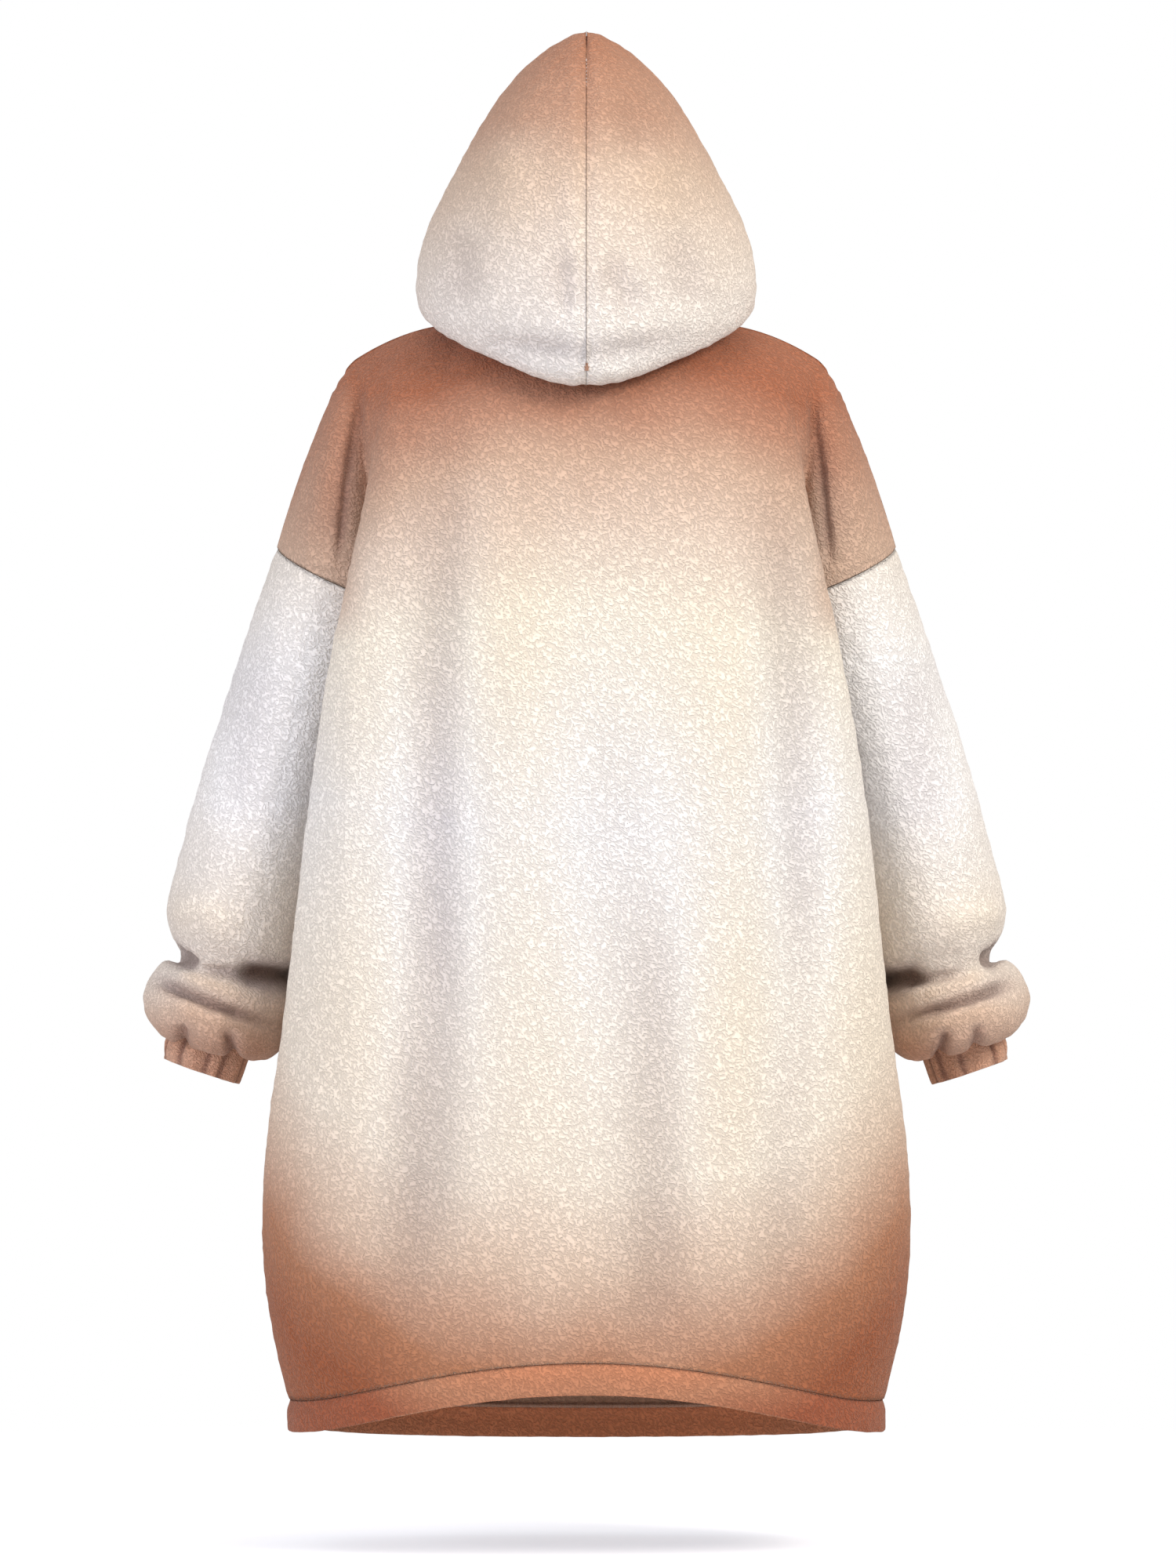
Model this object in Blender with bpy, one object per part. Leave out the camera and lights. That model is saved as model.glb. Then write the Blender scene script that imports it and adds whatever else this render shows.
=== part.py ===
"""Wearable blanket hoodie, worn and filled out, as hollow cloth walls.

Units are metres and +Z is up. The garment faces -Y, its left side is +X, and
the origin lies between the shoulders, level with the sides of the neck.
A height is written as a drop: the distance below that level.

Each piece is a grid of points on the outside of the cloth, lofted through
sections that follow the garment's sizes. Neighbours share the points along
their seam, so the wall, laid inwards from those points, is continuous there.
"""
import math

import bmesh
import bpy
import numpy as np

# Cloth
FLEECE_WALL = 0.0028
RIB_WALL = 0.0024
HALF_SEAM_GAP = 0.00018
CORNER_PULL = 1.2
SHARPEST_MITRE = 0.5

# Main sizes
NECK_HALF_WIDTH = 0.105
NECK_BACK_DEPTH = 0.078
NECK_FRONT_DEPTH = 0.098
NECK_BACK_DROP = 0.015
NECK_FRONT_DROP = 0.045
UNDERARM_DROP = 0.250
BAND_TOP_DROP = 0.965
BAND_HEIGHT = 0.028
BACK_HEM_LIFT = 0.046
FRONT_HEM_FALL = 0.013
SIDE_HEM_LIFT = 0.007
HEM_SWING_START = 0.66
CUFF_LENGTH = 0.040
CUFF_HALF_WIDTH = 0.0393
CUFF_HALF_DEPTH = 0.0415
CUFF_END = (0.3448, -0.044, -0.6705)
CUFF_TILT = math.radians(18.7)
CUFF_FLUTES = 10
FLUTE_HEIGHT = 0.0014

# Points per piece
NECK_STEPS = 6
SHOULDER_STEPS = 5
TURN_STEPS = 4
ARM_STEPS = 10
BODY_ROWS = 13
BAND_ROWS = 2
CUFF_STEPS = 40
CUFF_ROWS = 2

# Body sections below the underarm: how wide the fold beside the arm stands,
# how far behind and before the middle it lies, and where the side seam runs
BODY_COLUMNS = ("drop", "rim_x", "rim_back", "depth_back", "rim_front", "depth_front", "side_x")
BODY_SECTIONS = (
    (0.250, 0.2170, 0.095, 0.170, 0.130, 0.168, 0.1500),
    (0.297, 0.2270, 0.096, 0.175, 0.132, 0.175, 0.1625),
    (0.345, 0.2345, 0.097, 0.179, 0.134, 0.181, 0.1790),
    (0.450, 0.2490, 0.098, 0.189, 0.136, 0.192, 0.2135),
    (0.553, 0.2610, 0.096, 0.198, 0.134, 0.201, 0.2425),
    (0.622, 0.2690, 0.088, 0.203, 0.124, 0.206, 0.2535),
    (0.700, 0.2810, 0.074, 0.206, 0.098, 0.208, 0.2750),
    (0.780, 0.2880, 0.064, 0.205, 0.078, 0.207, 0.2870),
    (0.850, 0.2870, 0.058, 0.203, 0.068, 0.204, 0.2870),
    (0.915, 0.2775, 0.054, 0.198, 0.062, 0.198, 0.2775),
    (0.965, 0.2645, 0.052, 0.190, 0.058, 0.190, 0.2645),
)
SIDE_SEAM_Y = (-0.010, -0.006)
BODY_FULLNESS = 0.60
TURN_START = 0.15
TURN_END = 0.85

# The dropped shoulder from its top to the sleeve seam: the crease beside the
# body, the outer ridge of the upper arm, and how far the arm stands out
ARM_COLUMNS = ("crease_x", "crease_drop", "crease_y", "ridge_x", "ridge_drop", "arm_depth")
ARM_SECTIONS = (
    (0.205, 0.031, 0.000, 0.2320, 0.075, 0.000),
    (0.203, 0.062, 0.040, 0.2410, 0.096, 0.048),
    (0.200, 0.098, 0.061, 0.2500, 0.118, 0.075),
    (0.195, 0.140, 0.069, 0.2580, 0.140, 0.094),
    (0.186, 0.180, 0.062, 0.2650, 0.161, 0.104),
    (0.170, 0.220, 0.040, 0.2715, 0.181, 0.110),
    (0.150, 0.250, 0.000, 0.2770, 0.200, 0.1133),
)
ARM_MIDDLE_Y = (-0.002, -0.010)
UNDERARM_POINT = 0.020
UNDERARM_POINT_DROPS = (0.40, 0.60)
ARM_BACK_SLOPE = 0.12

# How the upper arm's rows leave the crease and reach the outer ridge, as
# shares of their width and height
ARM_LEAVE = np.array((0.32, 0.0, 0.12))
ARM_ARRIVE = np.array((0.20, 0.0, 0.42))

# Sleeve rings from the armhole to the cuff seam, which the last roll hides
SLEEVE_COLUMNS = ("outer_x", "outer_drop", "inner_x", "inner_drop", "middle_y", "half_depth")
SLEEVE_RINGS = (
    (0.2770, 0.200, 0.1500, 0.250, -0.010, 0.0850),
    (0.2980, 0.258, 0.1700, 0.297, -0.012, 0.0880),
    (0.3170, 0.314, 0.1860, 0.345, -0.015, 0.0910),
    (0.3340, 0.370, 0.2040, 0.395, -0.019, 0.0940),
    (0.3500, 0.426, 0.2210, 0.448, -0.023, 0.0970),
    (0.3670, 0.482, 0.2380, 0.503, -0.028, 0.0990),
    (0.3780, 0.530, 0.2500, 0.553, -0.033, 0.1000),
    (0.3650, 0.563, 0.2540, 0.589, -0.037, 0.0910),
    (0.3880, 0.574, 0.2560, 0.600, -0.039, 0.0990),
    (0.4000, 0.597, 0.2620, 0.620, -0.040, 0.1020),
    (0.3930, 0.623, 0.2700, 0.648, -0.042, 0.0920),
    (0.3810, 0.635, 0.2840, 0.657, -0.044, 0.0720),
    (0.3735, 0.628, 0.2905, 0.653, -0.044, 0.0540),
    (0.3717, 0.616, 0.2917, 0.643, -0.044, 0.0450),
)
SLEEVE_ROWS_PER_RING = (2, 2, 2, 2, 2, 2, 2, 1, 1, 2, 1, 1, 1)

# Largest folds of the sleeve, as lines seen from behind (+1) or before (-1)
FOLD_COLUMNS = ("face", "from_x", "from_drop", "to_x", "to_drop", "depth", "width")
SLEEVE_FOLDS = (
    (+1, 0.385, 0.585, 0.275, 0.625, 0.013, 0.013),
    (+1, 0.322, 0.572, 0.262, 0.592, 0.016, 0.014),
    (+1, 0.365, 0.470, 0.300, 0.520, 0.005, 0.016),
    (-1, 0.380, 0.580, 0.290, 0.610, 0.012, 0.013),
    (-1, 0.300, 0.555, 0.255, 0.580, 0.012, 0.014),
    (-1, 0.335, 0.380, 0.240, 0.430, 0.006, 0.018),
)

# Hood sections from the neck seam to the crown: widest point, face opening
# and centre back
HOOD_COLUMNS = ("wide_x", "wide_z", "open_x", "open_y", "open_z", "back_y", "back_z")
HOOD_SECTIONS = (
    (0.1050, 0.000, 0.000, -0.098, -0.045, 0.078, -0.015),
    (0.1300, 0.004, 0.016, -0.112, -0.036, 0.112, -0.032),
    (0.1490, 0.006, 0.030, -0.119, -0.020, 0.143, -0.068),
    (0.1540, 0.029, 0.050, -0.120, 0.008, 0.174, -0.053),
    (0.1450, 0.071, 0.074, -0.114, 0.050, 0.188, 0.006),
    (0.1230, 0.113, 0.086, -0.107, 0.100, 0.182, 0.072),
    (0.1010, 0.155, 0.087, -0.102, 0.148, 0.164, 0.126),
    (0.0775, 0.197, 0.075, -0.099, 0.194, 0.130, 0.176),
    (0.0565, 0.225, 0.055, -0.098, 0.222, 0.094, 0.213),
    (0.0365, 0.2445, 0.035, -0.098, 0.239, 0.062, 0.238),
    (0.0190, 0.2555, 0.018, -0.098, 0.247, 0.040, 0.252),
    (0.0000, 0.2600, 0.000, -0.098, 0.251, 0.020, 0.260),
)
HOOD_FRONT_REACH = 0.30
HOOD_BACK_REACH = 0.12
HOOD_BAG_SAG = 0.046
HOOD_SAG_START = 0.09
HOOD_SAG_FULL = 0.15
HOOD_MIDDLE = (0.0, 0.02, 0.08)
HOOD_SEAM_ROLL = 0.003
HOOD_SEAM_STEP = 0.94
NECK_SEAM_LIFT = 0.0006

# Long soft drapes of the body, dropping from one place to another
DRAPE_COLUMNS = ("face", "top_x", "top_drop", "foot_x", "foot_drop", "width", "height")
DRAPE_FULL_FROM = 0.25
DRAPE_FULL_TO = 0.80
BODY_DRAPES = (
    (+1, 0.132, 0.10, 0.140, 0.86, 0.030, -0.006),
    (+1, -0.072, 0.60, -0.064, 0.95, 0.030, -0.006),
    (+1, -0.186, 0.16, -0.176, 0.66, 0.028, -0.006),
    (+1, 0.050, 0.30, 0.060, 0.95, 0.034, 0.005),
    (+1, -0.120, 0.22, -0.125, 0.92, 0.032, 0.005),
    (-1, 0.080, 0.24, 0.100, 0.92, 0.030, -0.006),
    (-1, -0.030, 0.50, -0.044, 0.96, 0.030, -0.005),
    (-1, -0.150, 0.18, -0.160, 0.78, 0.030, -0.006),
    (-1, 0.020, 0.20, 0.030, 0.80, 0.036, 0.005),
)

# The shoulder seam's curve, leaving the neck and reaching the crease
SHOULDER_LEAVE = np.array((0.035, 0.0, 0.001))
SHOULDER_ARRIVE = np.array((-0.030, 0.0, 0.019))

# The yoke between chest and shoulders: how full its curves are, the drop over
# which the body's slope is taken, the way the cloth leaves the neck and the
# shoulder seam, and the shares of the crease's width, depth and height at
# which its fold turns in and out
YOKE_FULLNESS = 0.42
YOKE_SLOPE_DROP = 0.02
NECK_SLOPE = np.array((0.0, 0.75, -0.66))
SHOULDER_SLOPE = np.array((0.10, 0.95, -0.24))
FOLD_START = np.array((0.0, 0.30, 0.20))
FOLD_END = np.array((0.045, 0.45, 0.45))

PEACH = (0.80, 0.52, 0.40)
CREAM = (0.90, 0.84, 0.77)
BROWN = (0.36, 0.13, 0.07)


def named(columns, row):
    """The row's values by their column names."""
    return dict(zip(columns, row))


def curve_through(keys, values, key):
    """The values at a key, on a smooth curve through a table's rows."""
    keys = np.asarray(keys, float)
    values = np.asarray(values, float)
    slopes = np.gradient(values, keys, axis=0)
    first = int(np.clip(np.searchsorted(keys, key) - 1, 0, len(keys) - 2))
    span = keys[first + 1] - keys[first]
    t = (key - keys[first]) / span
    start = (2 * t**3 - 3 * t**2 + 1) * values[first]
    start_slope = (t**3 - 2 * t**2 + t) * span * slopes[first]
    end = (3 * t**2 - 2 * t**3) * values[first + 1]
    end_slope = (t**3 - t**2) * span * slopes[first + 1]
    return start + start_slope + end + end_slope


def bezier(p0, p1, p2, p3, t):
    """The point at t on the cubic curve of four control points."""
    s = 1.0 - t
    return s**3 * p0 + 3 * s * s * t * p1 + 3 * s * t * t * p2 + t**3 * p3


def ease(start, end, value):
    """Zero before start, one after end, smooth between."""
    t = min(1.0, max(0.0, (value - start) / (end - start)))
    return t * t * (3 - 2 * t)


def point(x, y, z):
    return np.array((x, y, z), float)


def body_section(drop):
    keys = [row[0] for row in BODY_SECTIONS]
    return named(BODY_COLUMNS, curve_through(keys, BODY_SECTIONS, drop))


def hem_swing(drop, face, aside):
    """How far a row near the hem is lifted, at a share of the way to its side."""
    level = ease(HEM_SWING_START, BAND_TOP_DROP, drop)
    centre = math.cos(0.5 * math.pi * aside)
    reach = BACK_HEM_LIFT * centre if face > 0 else -FRONT_HEM_FALL * math.sqrt(centre)
    return level * (reach + SIDE_HEM_LIFT * aside**10)


def body_row(drop, face):
    """Half a body row at a drop, from the centre of the back or front to the side seam."""
    section = body_section(min(drop, BAND_TOP_DROP))
    rim_x = section["rim_x"]
    rim_y = face * (section["rim_back"] if face > 0 else section["rim_front"])
    depth = face * (section["depth_back"] if face > 0 else section["depth_front"])
    down = (drop - UNDERARM_DROP) / (BAND_TOP_DROP - UNDERARM_DROP)
    side_y = SIDE_SEAM_Y[0] + (SIDE_SEAM_Y[1] - SIDE_SEAM_Y[0]) * min(1.0, down)
    centre = point(0, depth, 0)
    rim = point(rim_x, rim_y, 0)
    side = point(section["side_x"], side_y, 0)
    row = []
    arc_steps = NECK_STEPS + SHOULDER_STEPS
    for step in range(arc_steps + 1):
        broad = point(BODY_FULLNESS * rim_x, depth, 0)
        turn = point(rim_x, rim_y + BODY_FULLNESS * (depth - rim_y), 0)
        row.append(bezier(centre, broad, turn, rim, step / arc_steps))
    for step in range(1, TURN_STEPS + 1):
        leave = point(rim_x, rim_y + TURN_START * (side_y - rim_y), 0)
        arrive = point(section["side_x"], side_y - TURN_END * (side_y - rim_y), 0)
        row.append(bezier(rim, leave, arrive, side, step / TURN_STEPS))
    for place in row:
        place[2] = hem_swing(drop, face, min(1.0, place[0] / rim_x)) - drop
    return row


def neckline(step, face):
    """A point of the neckline, from its centre behind or before to the side of the neck."""
    angle = 0.5 * math.pi * step / NECK_STEPS
    depth = NECK_BACK_DEPTH if face > 0 else NECK_FRONT_DEPTH
    drop = NECK_BACK_DROP if face > 0 else NECK_FRONT_DROP
    return point(
        NECK_HALF_WIDTH * math.sin(angle),
        face * depth * math.cos(angle),
        -drop * math.cos(angle) ** 2,
    )


def shoulder_line(step):
    """A point of the shoulder seam, from the side of the neck to the crease."""
    neck = point(NECK_HALF_WIDTH, 0, 0)
    arm = named(ARM_COLUMNS, ARM_SECTIONS[0])
    crease = point(arm["crease_x"], ARM_MIDDLE_Y[0], -arm["crease_drop"])
    steps = SHOULDER_STEPS + TURN_STEPS
    return bezier(neck, neck + SHOULDER_LEAVE, crease + SHOULDER_ARRIVE, crease, step / steps)


def arm_points(level, face):
    """Crease, ridge and two controls of one row round the upper arm."""
    arm = named(ARM_COLUMNS, ARM_SECTIONS[level])
    down = level / (len(ARM_SECTIONS) - 1)
    middle = ARM_MIDDLE_Y[0] + (ARM_MIDDLE_Y[1] - ARM_MIDDLE_Y[0]) * down
    crease = point(arm["crease_x"], middle + face * arm["crease_y"], -arm["crease_drop"])
    ridge = point(arm["ridge_x"], middle, -arm["ridge_drop"])
    bulge = point(0, face * arm["arm_depth"], 0)
    tilt = point(0, 0, -ARM_BACK_SLOPE * face * arm["arm_depth"] * down)
    across = ridge - crease
    upper = 1 - down
    inner = crease + upper * ARM_LEAVE * across + tilt
    inner[0] += UNDERARM_POINT * down
    inner[1] = middle + bulge[1]
    outer = ridge - upper * ARM_ARRIVE * across + bulge + tilt
    return crease, inner, outer, ridge


def arm_row(level, face):
    """A row round the upper arm, from the crease to the outer ridge."""
    crease, inner, outer, ridge = arm_points(level, face)
    return [bezier(crease, inner, outer, ridge, step / ARM_STEPS) for step in range(ARM_STEPS + 1)]


def yoke_rows(face):
    """Body rows above the underarm, from the neck and shoulder seam downwards."""
    base = body_row(UNDERARM_DROP, face)
    below = body_row(UNDERARM_DROP + YOKE_SLOPE_DROP, face)
    levels = len(ARM_SECTIONS) - 1
    arc_steps = NECK_STEPS + SHOULDER_STEPS
    top = [neckline(step, face) for step in range(NECK_STEPS)]
    top += [shoulder_line(step) for step in range(SHOULDER_STEPS + TURN_STEPS + 1)]
    rows = [top]
    for level in range(1, levels):
        rise = 1 - level / levels
        row = []
        for column in range(arc_steps + 1):
            foot = base[column]
            head = top[column]
            reach = YOKE_FULLNESS * np.linalg.norm(head - foot)
            upward = (foot - below[column]) / np.linalg.norm(foot - below[column])
            flat = min(1.0, column / NECK_STEPS)
            leave = (1 - flat) * NECK_SLOPE + flat * SHOULDER_SLOPE
            leave = leave * point(1, face, 1)
            row.append(bezier(foot, foot + reach * upward, head + reach * leave, head, rise))
        rim = row[-1]
        crease = arm_points(level, face)[0]
        leave = rim + (crease - rim) * FOLD_START
        arrive = crease + (rim - crease) * FOLD_END
        for step in range(1, TURN_STEPS + 1):
            row.append(bezier(rim, leave, arrive, crease, step / TURN_STEPS))
        rows.append(row)
    return rows


def drape(place, side, face):
    """The push of the body's long drapes at a point of the half that lies on a side."""
    push = 0.0
    x = side * place[0]
    drop = -place[2]
    for values in BODY_DRAPES:
        fold = named(DRAPE_COLUMNS, values)
        if fold["face"] != face:
            continue
        down = (drop - fold["top_drop"]) / (fold["foot_drop"] - fold["top_drop"])
        middle = fold["top_x"] + (fold["foot_x"] - fold["top_x"]) * down
        fade = ease(0.0, DRAPE_FULL_FROM, down) * (1 - ease(DRAPE_FULL_TO, 1.0, down))
        push += fold["height"] * fade * math.exp(-(((x - middle) / fold["width"]) ** 2))
    return point(0, face * push, 0)


def body_patches(side, face):
    """The body grid of one quarter and the grid over its upper arm."""
    rows = yoke_rows(face)
    spacing = (BAND_TOP_DROP - UNDERARM_DROP) / BODY_ROWS
    rows += [body_row(UNDERARM_DROP + spacing * step, face) for step in range(BODY_ROWS + 1)]
    free = NECK_STEPS + SHOULDER_STEPS
    soft = []
    for row in rows:
        hang = [min(1.0, max(0.0, (free - column) / 2)) for column in range(len(row))]
        soft.append([place + share * drape(place, side, face) for place, share in zip(row, hang)])
    arm = [arm_row(level, face) for level in range(len(ARM_SECTIONS))]
    for level, row in enumerate(arm):
        row[0] = soft[level][-1]
    return mirrored(soft, side), mirrored(arm, side)


def mirrored(rows, side):
    """The rows on the wearer's left (+1) or right (-1)."""
    grid = np.array(rows)
    grid[:, :, 0] *= side
    return grid


def band_patch(side, face):
    """The hem band of one quarter, below the body's last row."""
    top = body_patches(side, face)[0][-1]
    rows = []
    for step in range(BAND_ROWS + 1):
        rows.append(top + point(0, 0, -BAND_HEIGHT * step / BAND_ROWS))
    return np.array(rows)


def fold_push(place, centre, face):
    """The push of the sleeve's folds at a point, towards the middle of its ring."""
    push = 0.0
    for values in SLEEVE_FOLDS:
        fold = named(FOLD_COLUMNS, values)
        if fold["face"] != face:
            continue
        start = np.array((fold["from_x"], -fold["from_drop"]))
        end = np.array((fold["to_x"], -fold["to_drop"]))
        along = end - start
        here = np.array((place[0], place[2])) - start
        share = min(1.0, max(0.0, float(here @ along) / float(along @ along)))
        distance = float(np.linalg.norm(here - share * along))
        push += fold["depth"] * math.exp(-((distance / fold["width"]) ** 2))
    inward = centre - place
    return inward * push / np.linalg.norm(inward)


def sleeve_ring(values):
    """A ring of the sleeve: underarm, back, outer ridge, front and underarm again."""
    ring = named(SLEEVE_COLUMNS, values)
    outer = point(ring["outer_x"], ring["middle_y"], -ring["outer_drop"])
    inner = point(ring["inner_x"], ring["middle_y"], -ring["inner_drop"])
    centre = 0.5 * (outer + inner)
    bulge = ring["half_depth"] * 4 / 3
    pointed = point(UNDERARM_POINT * (1 - ease(*UNDERARM_POINT_DROPS, ring["outer_drop"])), 0, 0)
    halves = []
    for face in (1, -1):
        reach = point(0, face * bulge, -ARM_BACK_SLOPE * face * bulge)
        half = []
        for step in range(ARM_STEPS + 1):
            place = bezier(inner, inner + reach + pointed, outer + reach, outer, step / ARM_STEPS)
            open_share = math.sin(math.pi * step / ARM_STEPS)
            half.append(place + open_share * fold_push(place, centre, face))
        halves.append(half)
    return halves[0] + halves[1][-2::-1]


def sleeve_patch(side):
    """The sleeve, from its seam with the body to its seam with the cuff."""
    rows = []
    last = len(SLEEVE_RINGS) - 1
    for ring in range(last):
        for step in range(SLEEVE_ROWS_PER_RING[ring]):
            key = ring + step / SLEEVE_ROWS_PER_RING[ring]
            rows.append(sleeve_ring(curve_through(range(last + 1), SLEEVE_RINGS, key)))
    rows.append(sleeve_ring(SLEEVE_RINGS[last]))
    rows[0] = arm_row(len(ARM_SECTIONS) - 1, 1) + arm_row(len(ARM_SECTIONS) - 1, -1)[-2::-1]
    return mirrored(rows, side)


def cuff_patch(side):
    """The ribbed cuff, gathered into flutes."""
    end = point(*CUFF_END)
    along = point(math.sin(CUFF_TILT), 0, -math.cos(CUFF_TILT))
    across = point(math.cos(CUFF_TILT), 0, math.sin(CUFF_TILT))
    rows = []
    for row in range(CUFF_ROWS + 1):
        centre = end - along * CUFF_LENGTH * (1 - row / CUFF_ROWS)
        ring = []
        for step in range(CUFF_STEPS + 1):
            angle = math.pi - 2 * math.pi * step / CUFF_STEPS
            flute = FLUTE_HEIGHT * math.cos(CUFF_FLUTES * angle)
            wide = (CUFF_HALF_WIDTH + flute) * math.cos(angle)
            deep = (CUFF_HALF_DEPTH + flute) * math.sin(angle)
            ring.append(centre + across * wide + point(0, deep, 0))
        rows.append(ring)
    return mirrored(rows, side)


def hood_row(values):
    """A row of the hood, from the face opening round to the centre back.

    The row is widest at its middle, where a cubic curve takes an eighth of each
    end point and three eighths of each control point.
    """
    section = named(HOOD_COLUMNS, values)
    opening = point(section["open_x"], section["open_y"], section["open_z"])
    back = point(0, section["back_y"], section["back_z"])
    wide_x = (section["wide_x"] - opening[0] / 8) / (6 / 8)
    wide_z = (section["wide_z"] - (opening[2] + back[2]) / 8) / (6 / 8)
    length = back[1] - opening[1]
    sag = HOOD_BAG_SAG * ease(HOOD_SAG_START, HOOD_SAG_FULL, section["wide_x"])
    before = point(wide_x, opening[1] + HOOD_FRONT_REACH * length, wide_z + sag)
    behind = point(wide_x, back[1] - HOOD_BACK_REACH * length, wide_z - sag)
    steps = 2 * NECK_STEPS
    row = [bezier(opening, before, behind, back, step / steps) for step in range(steps)]
    row.append(bezier(opening, before, behind, back, 1 - (1 - HOOD_SEAM_STEP) * 0.5))
    row.append(back)
    return row


def hood_neck_row():
    """The hood's lower edge, laid on the neckline."""
    row = [neckline(step, -1) for step in range(NECK_STEPS)]
    row += [neckline(step, 1) for step in range(NECK_STEPS, 0, -1)]
    between = 0.5 * (neckline(1, 1) + neckline(0, 1))
    row += [between, neckline(0, 1)]
    return [place + point(0, 0, NECK_SEAM_LIFT) for place in row]


def hood_patch(side):
    """One side of the hood, with its edge rolled in along the centre seam."""
    rows = [hood_neck_row()]
    rows += [hood_row(values) for values in HOOD_SECTIONS[1:]]
    for row in rows[1:]:
        inward = point(*HOOD_MIDDLE) - row[-1]
        row[-1] = row[-1] + HOOD_SEAM_ROLL * inward / np.linalg.norm(inward)
    return mirrored(rows, side)


class Cloth:
    """Grids sewn point to point, so that walls are laid by one set of normals."""

    def __init__(self):
        self.places = []
        self.numbers = {}
        self.quads = {}

    def number(self, place):
        key = tuple(int(round(value * 1e5)) for value in place)
        if key not in self.numbers:
            self.numbers[key] = len(self.places)
            self.places.append(np.array(place, float))
        return self.numbers[key]

    def add(self, name, grid, outward):
        """Adds a grid to a piece; outward is +1 where its faces already face out."""
        numbers = [[self.number(place) for place in row] for row in grid]
        faces = self.quads.setdefault(name, [])
        for upper, lower in zip(numbers, numbers[1:]):
            for column in range(len(upper) - 1):
                loop = [upper[column], upper[column + 1], lower[column + 1], lower[column]]
                corners = list(dict.fromkeys(loop))
                if len(corners) > 2:
                    faces.append(corners if outward > 0 else corners[::-1])

    def face_normal(self, face):
        corners = [self.places[number] for number in face]
        if len(face) == 4:
            normal = np.cross(corners[2] - corners[0], corners[3] - corners[1])
        else:
            normal = np.cross(corners[1] - corners[0], corners[2] - corners[0])
        return normal

    def halved(self, face):
        """A face cut along its shorter diagonal, so that both sides of the wall bend alike."""
        if len(face) == 3:
            return [face]
        a, b, c, d = face
        first = np.linalg.norm(self.places[a] - self.places[c])
        second = np.linalg.norm(self.places[b] - self.places[d])
        return [[a, b, c], [a, c, d]] if first <= second else [[a, b, d], [b, c, d]]

    def normals(self):
        """Unit normals of all points, and the sharpest slope of a face to each."""
        sums = np.zeros((len(self.places), 3))
        flats = []
        for faces in self.quads.values():
            for face in faces:
                normal = self.face_normal(face)
                flats.append((face, normal / np.linalg.norm(normal)))
        for face, flat in flats:
            sums[face] += flat
        units = sums / np.linalg.norm(sums, axis=1)[:, None]
        slopes = np.ones(len(units))
        for face, flat in flats:
            slopes[face] = np.minimum(slopes[face], units[face] @ flat)
        return units, np.maximum(slopes, SHARPEST_MITRE)

    def piece(self, name, wall, units, slopes):
        """Points and faces of one piece: the outside, the inside and the cut edges."""
        faces = self.quads[name]
        used = sorted({number for face in faces for number in face})
        order = {number: index for index, number in enumerate(used)}
        edges = {}
        for face in faces:
            for first, second in zip(face, face[1:] + face[:1]):
                edges[(first, second)] = face
        border = [edge for edge in edges if (edge[1], edge[0]) not in edges]
        pull = {number: np.zeros(3) for edge in border for number in edge}
        for first, second in border:
            along = self.places[second] - self.places[first]
            inward = np.cross(units[first] + units[second], along)
            inward /= np.linalg.norm(inward)
            pull[first] += inward
            pull[second] += inward
        outside = []
        inside = []
        for number in used:
            place = self.places[number].copy()
            if number in pull:
                place += HALF_SEAM_GAP * pull[number] / max(1.0, np.linalg.norm(pull[number]) / CORNER_PULL)
            outside.append(place)
            inside.append(place - units[number] * wall / slopes[number])
        count = len(used)
        halves = [half for face in faces for half in self.halved(face)]
        loops = [[order[number] for number in half] for half in halves]
        loops += [[order[number] + count for number in half[::-1]] for half in halves]
        for first, second in border:
            a = order[first]
            b = order[second]
            if a < b:
                loops += [[b, a, b + count], [a, a + count, b + count]]
            else:
                loops += [[b, a, a + count], [b, a + count, b + count]]
        return outside + inside, loops


def material(name, colour):
    """A matt cloth finish."""
    finish = bpy.data.materials.new(name)
    finish.use_nodes = True
    shader = finish.node_tree.nodes["Principled BSDF"]
    shader.inputs["Base Color"].default_value = (*colour, 1.0)
    shader.inputs["Roughness"].default_value = 0.95
    shader.inputs["Metallic"].default_value = 0.0
    return finish


def make_object(name, places, loops, finish, collection):
    """A closed, smoothly shaded body from points and faces."""
    mesh = bpy.data.meshes.new(name)
    mesh.from_pydata([tuple(place) for place in places], [], loops)
    shape = bmesh.new()
    shape.from_mesh(mesh)
    bmesh.ops.recalc_face_normals(shape, faces=shape.faces)
    shape.to_mesh(mesh)
    shape.free()
    mesh.shade_smooth()
    mesh.set_sharp_from_angle(angle=math.radians(50))
    mesh.materials.append(finish)
    made = bpy.data.objects.new(name, mesh)
    collection.objects.link(made)


def sew_body():
    """Body, sleeves and hem band, which share their seams."""
    cloth = Cloth()
    for side in (1, -1):
        for face, panel in ((1, "body_back"), (-1, "body_front")):
            body, arm = body_patches(side, face)
            cloth.add(panel, body, side * face)
            cloth.add(panel, arm, side * face)
            cloth.add("hem_band", band_patch(side, face), side * face)
        name = "sleeve_left" if side > 0 else "sleeve_right"
        cloth.add(name, sleeve_patch(side), side)
    return cloth


def sew_hood():
    cloth = Cloth()
    cloth.add("hood_left", hood_patch(1), 1)
    cloth.add("hood_right", hood_patch(-1), -1)
    return cloth


def sew_cuffs():
    cloth = Cloth()
    cloth.add("cuff_left", cuff_patch(1), 1)
    cloth.add("cuff_right", cuff_patch(-1), -1)
    return cloth


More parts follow.
